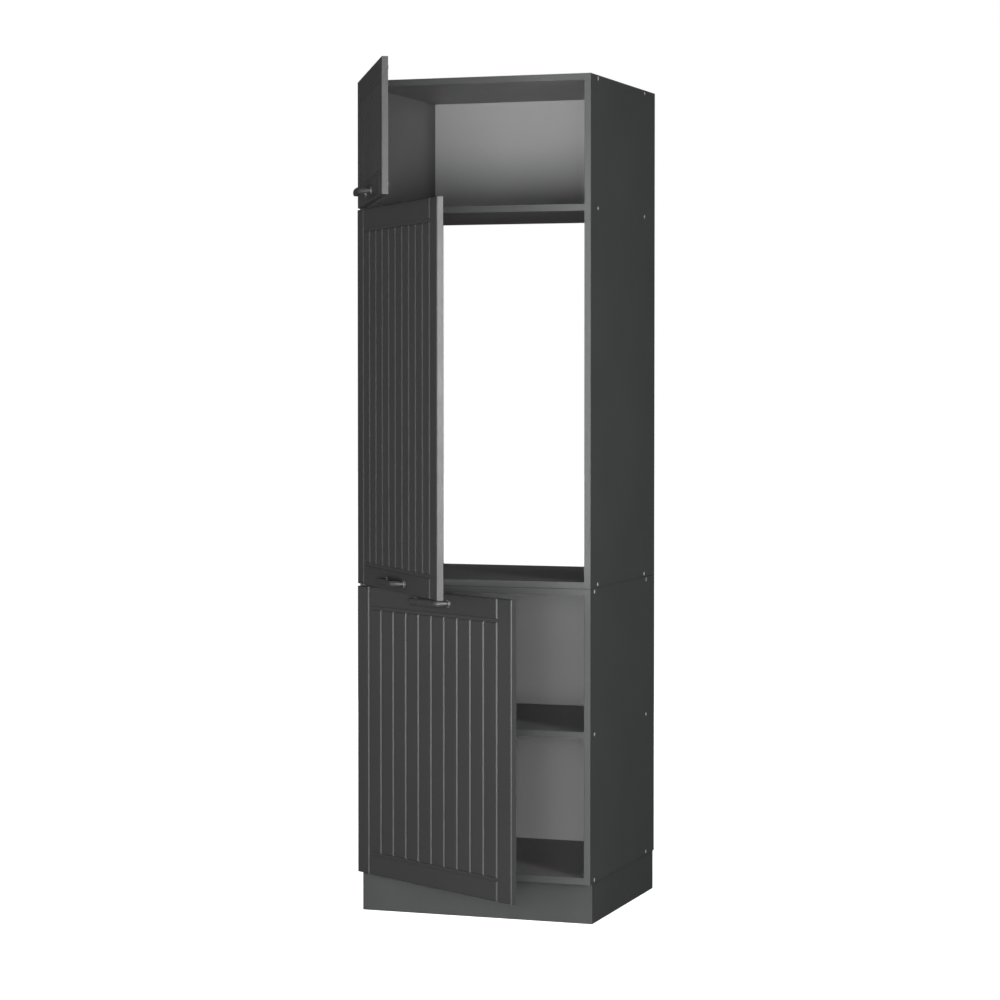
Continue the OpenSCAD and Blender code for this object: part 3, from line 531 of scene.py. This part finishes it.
def smooth_by_angle(limit_deg):
    """A node group that shades smooth, except over edges that turn more than limit_deg."""
    tree = bpy.data.node_groups.new("smooth_small_angles", "GeometryNodeTree")
    for way in ("INPUT", "OUTPUT"):
        tree.interface.new_socket("Geometry", in_out=way, socket_type="NodeSocketGeometry")
    entry = add(tree, "NodeGroupInput")
    turns = {0: add(tree, "GeometryNodeInputMeshEdgeAngle"), 1: math.radians(limit_deg)}
    sharp = add(tree, "FunctionNodeCompare", turns, operation="GREATER_THAN")
    faces = add(tree, "GeometryNodeSetShadeSmooth", {0: entry, 2: True}, domain="FACE")
    edges = add(tree, "GeometryNodeSetShadeSmooth", {0: faces, 1: sharp, 2: False}, domain="EDGE")
    add(tree, "NodeGroupOutput", {0: edges})
    return tree


smoothing = smooth_by_angle(SMOOTH_BELOW_DEG)
print("smoothing group:", smoothing.name)

# %% Give each solid its material and its soft edges
ROUND_ABOVE_DEG, EDGE_STEPS = 40, 3
SMALL_SCREWS = (
    "plinth_screws", "connector", "handle_screws", "cup_screws", "plate_screws", "arm_screws",
)
LOOKS = [  # the start of a solid's name, its material and the radius of its edges in mm
    (("base_side", "base_top", "upper_side", "upper_divider"), board, 1.0),
    (("base_shelf", "base_bottom", "niche_floor", "upper_top"), shelf_board_painted_lighter, 1.0),
    (("base_back", "upper_back"), back_panel, 0),
    (("base_screws", "upper_screws"), milky_zinc, 0),
    (SMALL_SCREWS, zinc, 0),
    (("plinth_blocks", "dowels"), beech_wood, 0.5),
    (("plinth_",), plinth_board, 0.8),
    (("hinge_arms", "hinge_plates"), nickel, 0.25),
    (("hinge_",), nickel, 0),
    (("handle_", "rosettes_"), handle_metal, 0),
    (("bumpers_",), bumper_plastic, 0.4),
] + [((f"door_{name}",), door["front"], 0.6) for name, door in doors.items()]

for node_name, solid in nodes.items():
    material, radius_mm = next((m, r) for starts, m, r in LOOKS if node_name.startswith(starts))
    solid.data.materials.clear()
    solid.data.materials.append(material)
    if radius_mm:
        bevel = solid.modifiers.new("soft_edges", "BEVEL")
        bevel.width = radius_mm * MM
        bevel.segments = EDGE_STEPS
        bevel.use_clamp_overlap = False
        bevel.limit_method = "ANGLE"
        bevel.angle_limit = math.radians(ROUND_ABOVE_DEG)
    solid.modifiers.new("smooth_small_angles", "NODES").node_group = smoothing
print("dressed", len(nodes), "solids")

# %% [markdown]
# ## Cast bow handles
# The handle is a bow: two legs rise from the rosettes, lean inwards and turn at a shoulder
# into a broad, flat grip. Two simple curves give its middle line, one for the legs and one
# for the slightly crowned grip, and a power blends them at the shoulders: the higher the
# power, the tighter the turn. The section is round at the feet and grows to a tall ellipse,
# whose cheeks catch a bar of light along the legs. Rings along the line, joined by faces,
# make it. The solid has the same form with fewer rings, so this finer one stands for it.

# %% The bow's middle line
HANDLE_SPAN, HANDLE_RISE, LEG_LEAN, GRIP_CROWN = 128 * MM, 28 * MM, 12 * MM, 1.5 * MM
LEG_POWER, SHOULDER_POWER = 1.5, 8


def bow_line(turn):
    """Place on the bow's middle line: along the door, and out from the rosettes."""
    x = HANDLE_SPAN / 2 * math.cos(turn)
    leg = HANDLE_RISE * (max(HANDLE_SPAN / 2 - abs(x), 0) / LEG_LEAN) ** (1 / LEG_POWER)
    grip = HANDLE_RISE - GRIP_CROWN * (2 * x / HANDLE_SPAN) ** 2
    return Vector((x, leg * (1 + (leg / grip) ** SHOULDER_POWER) ** (-1 / SHOULDER_POWER)))


print("the grip stands out", round(bow_line(math.pi / 2).y / MM, 1), "mm from the rosettes")

# %% One ring of the bow
GRIP_H, GRIP_T, FOOT_D, ROSETTE_T = 17 * MM, 6.8 * MM, 10.4 * MM, 3.2 * MM
DOOR_T, DOOR_W, PIVOT_IN, PIVOT_DEEP = 16 * MM, 597 * MM, 7.3 * MM, 7.5 * MM
RINGS, SIDES = 144, 40


def on_door(door, x, y, z):
    """A point of the door: x across it, y to its back, z up."""
    pivot = Vector((door["pivot"].x, door["pivot"].y, z))
    return pivot + door["across"] * (x - PIVOT_IN) + door["backward"] * (y + PIVOT_DEEP)


def bow_ring(door, level, ring):
    """The points of one ring: an ellipse square to the middle line."""
    turn, half_step = math.pi * ring / RINGS, 0.5 * math.pi / RINGS
    place = bow_line(turn)
    way = Vector((0, 1 if ring == 0 else -1))
    if 0 < ring < RINGS:
        way = (bow_line(turn + half_step) - bow_line(turn - half_step)).normalized()
    swell = math.sqrt(abs(math.sin(turn)))
    half_t = (FOOT_D + (GRIP_T - FOOT_D) * swell) / 2
    half_h = (FOOT_D + (GRIP_H - FOOT_D) * swell) / 2
    points = []
    for side in range(SIDES):
        around = 2 * math.pi * side / SIDES
        off = half_t * math.cos(around)
        x, out = place.x - way.y * off, place.y + way.x * off
        up = level + half_h * math.sin(around)
        points.append(on_door(door, DOOR_W / 2 + x, -DOOR_T - ROSETTE_T - out, up))
    return points


print(RINGS + 1, "rings of", SIDES, "points")

# %% Bow handle mesh
def bow_handle(name, door, level):
    """A new piece: the rings, the faces between them and one face over each foot."""
    points, faces = [], []
    for ring in range(RINGS + 1):
        points += bow_ring(door, level, ring)
    for ring in range(RINGS):
        for side in range(SIDES):
            after = (side + 1) % SIDES
            a, b = ring * SIDES, (ring + 1) * SIDES
            faces.append((a + side, a + after, b + after, b + side))
    faces.append(tuple(range(SIDES)))
    faces.append(tuple(RINGS * SIDES + side for side in reversed(range(SIDES))))
    mesh = bpy.data.meshes.new(name)
    mesh.from_pydata(points, [], faces)
    mesh.validate()
    mesh.materials.append(handle_metal)
    piece = bpy.data.objects.new(name, mesh)
    bpy.context.scene.collection.objects.link(piece)
    piece.modifiers.new("smooth_small_angles", "NODES").node_group = smoothing
    return piece


# %% One handle on each door: on the lower one's top rail, on the others' bottom rail
RAIL_H = 46 * MM

for name, door in doors.items():
    low_z, high_z = door["z"]
    level = high_z - RAIL_H / 2 if name == "lower" else low_z + RAIL_H / 2
    piece = bow_handle(f"bow_handle_{name}", door, level)
    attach(piece, f"door_{name}")
    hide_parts(f"handle_{name}")
    print(piece.name, "at height", round(level, 4), "m, faces:", len(piece.data.polygons))

# %% [markdown]
# ## The studio
# The picture is a plain studio shot on white. A white floor and a white world make the
# ground, but a fully white world would also light the dark boards from all sides and wash
# them out. So the world is white for the lens and dim for the object: one switch asks
# whether a ray comes straight from the lens. The floor glows for the same reason, and it is
# hidden from bounced light. Soft boxes near the camera light the insides and the doors, a
# narrow strip box far to the right draws the thin lines on the door ends and the grooves, and
# one at the left does so on the front edges. The broad boxes in front, at the left, behind and
# above only fill: they are hidden from mirror rays, or a door seen at a flat angle would
# mirror them as a white patch. The watts were found by rendering each box alone and weighing
# the pictures.

# %% Floor
FLOOR_HALF, FLOOR_DROP = 30.0, 0.5 * MM  # it lies a hair below the plinth
PAPER_WHITE, PAPER_SHADE, PAPER_PATCH_MM, PAPER_ROUGHNESS = "fbfbfb", "f6f6f6", 700, 0.9
GLOW_NEAR, GLOW_FAR, NEAR_M, FAR_M = 0.8, 1.0, 0.5, 2.2  # its glow grows over these metres


def white_floor(name):
    """White paper that glows more the further it is from the cabinet."""
    material, tree = new_material(name)
    patches = {0: grain(tree, PAPER_PATCH_MM), 6: linear(PAPER_WHITE), 7: linear(PAPER_SHADE)}
    colour = add(tree, "Mix", patches, **MIXED_COLOUR)
    place = add(tree, "TexCoord", out="Object")
    away = add(tree, "VectorMath", {0: place}, out="Value", operation="LENGTH")
    ends = {"From Min": NEAR_M, "From Max": FAR_M, "To Min": GLOW_NEAR, "To Max": GLOW_FAR}
    glow = add(tree, "MapRange", {"Value": away, **ends})
    shader = add(
        tree, "BsdfPrincipled",
        {"Base Color": colour, "Roughness": PAPER_ROUGHNESS, "Emission Color": (1, 1, 1, 1),
         "Emission Strength": glow},
    )
    add(tree, "OutputMaterial", {0: shader})
    return material


ways = ((-1, -1), (1, -1), (1, 1), (-1, 1))
corners = [(x * FLOOR_HALF, y * FLOOR_HALF, -FLOOR_DROP) for x, y in ways]
floor_mesh = bpy.data.meshes.new("studio_floor")
floor_mesh.from_pydata(corners, [], [(0, 1, 2, 3)])
floor_mesh.materials.append(white_floor("studio_floor_white"))
floor = bpy.data.objects.new("studio_floor", floor_mesh)
floor.visible_diffuse = False
floor.visible_glossy = False
bpy.context.scene.collection.objects.link(floor)
print("floor", 2 * FLOOR_HALF, "m wide")

# %% World, white for the lens and dim for the object
FILL_STRENGTH, LENS_STRENGTH = 0.072, 1.0
world = bpy.data.worlds.new("studio_world")
bpy.context.scene.world = world
world.use_nodes = True
tree = world.node_tree
tree.nodes.clear()
lens = add(tree, "LightPath", out="Is Camera Ray")
ends = {"To Min": FILL_STRENGTH, "To Max": LENS_STRENGTH}
strength = add(tree, "MapRange", {"Value": lens, **ends})
backdrop = add(tree, "Background", {"Color": (1, 1, 1, 1), "Strength": strength})
add(tree, "OutputWorld", {0: backdrop})
print("world strength", FILL_STRENGTH, "for the object and", LENS_STRENGTH, "for the lens")

# %% Soft boxes
AIM = Vector((0, 0, 1.1))  # all boxes look at the cabinet's middle
SOFT_BOXES = [  # name, place in metres, width and height in metres, watts, and whether it mirrors
    ("soft_box_by_the_camera", (2.3, -6.4, 1.35), (1.6, 1.6), 30, True),
    ("soft_box_right", (3.2, -4.6, 1.0), (1.6, 1.8), 89, True),
    ("soft_box_low", (1.6, -4.6, 0.7), (1.4, 1.2), 116, True),
    ("soft_box_left", (-3.0, -2.6, 1.0), (1.8, 1.8), 11, True),
    ("strip_box_right", (2.8, -2.0, 1.4), (0.35, 1.3), 90, True),
    ("strip_box_left", (-1.25, -4.9, 1.0), (0.5, 2.0), 24, True),
    ("fill_box_front", (0.0, -4.0, 0.8), (2.4, 1.6), 180, False),
    ("fill_box_left", (-4.2, 0.3, 1.3), (2.0, 2.0), 62, False),
    ("fill_box_rear_left", (-2.4, 4.2, 1.4), (2.0, 2.0), 40, False),
    ("fill_box_rear", (0.8, 4.6, 1.4), (2.0, 2.0), 40, False),
    ("fill_box_above", (0.0, 0.4, 5.2), (2.0, 2.0), 50, False),
]
for name, place, size, watts, mirrors in SOFT_BOXES:
    data = bpy.data.lights.new(name, "AREA")
    data.shape = "RECTANGLE"
    data.size, data.size_y = size
    data.energy = watts
    light = bpy.data.objects.new(name, data)
    light.location = place
    light.rotation_euler = (AIM - Vector(place)).to_track_quat("-Z", "Y").to_euler()
    light.visible_camera = False
    light.visible_glossy = mirrors
    bpy.context.scene.collection.objects.link(light)
    print(name, watts, "W")

# %% [markdown]
# ## The camera
# The upright edges of the cabinet are all but parallel in the picture. A lens that only tilts
# down makes them lean together, and one that only shifts, as on a view camera, keeps them
# parallel but is off centre when the camera goes round the object. So the camera tilts by
# 1.5 degrees and shifts a little, which keeps every corner within about a pixel. The place was
# found by fitting the cabinet's known corners to the picture.

# %% Camera
CAMERA_PLACE = (2.3931, -6.7176, 1.3387)
TILT_DEG, TURN_DEG = -1.498, 19.156
SENSOR_MM, LENS_MM, SHIFT_Y, FAR_CLIP = 36, 104.384, -0.05, 200
camera_data = bpy.data.cameras.new("studio_camera")
camera_data.sensor_width = SENSOR_MM
camera_data.lens = LENS_MM
camera_data.shift_y = SHIFT_Y
camera_data.clip_end = FAR_CLIP
camera = bpy.data.objects.new("studio_camera", camera_data)
camera.location = CAMERA_PLACE
camera.rotation_euler = (math.radians(90 + TILT_DEG), 0, math.radians(TURN_DEG))
bpy.context.scene.collection.objects.link(camera)
bpy.context.scene.camera = camera
bpy.context.scene.view_settings.view_transform = "Standard"  # with no film curve
print("camera", [round(v, 3) for v in camera.location], "lens", LENS_MM, "mm")
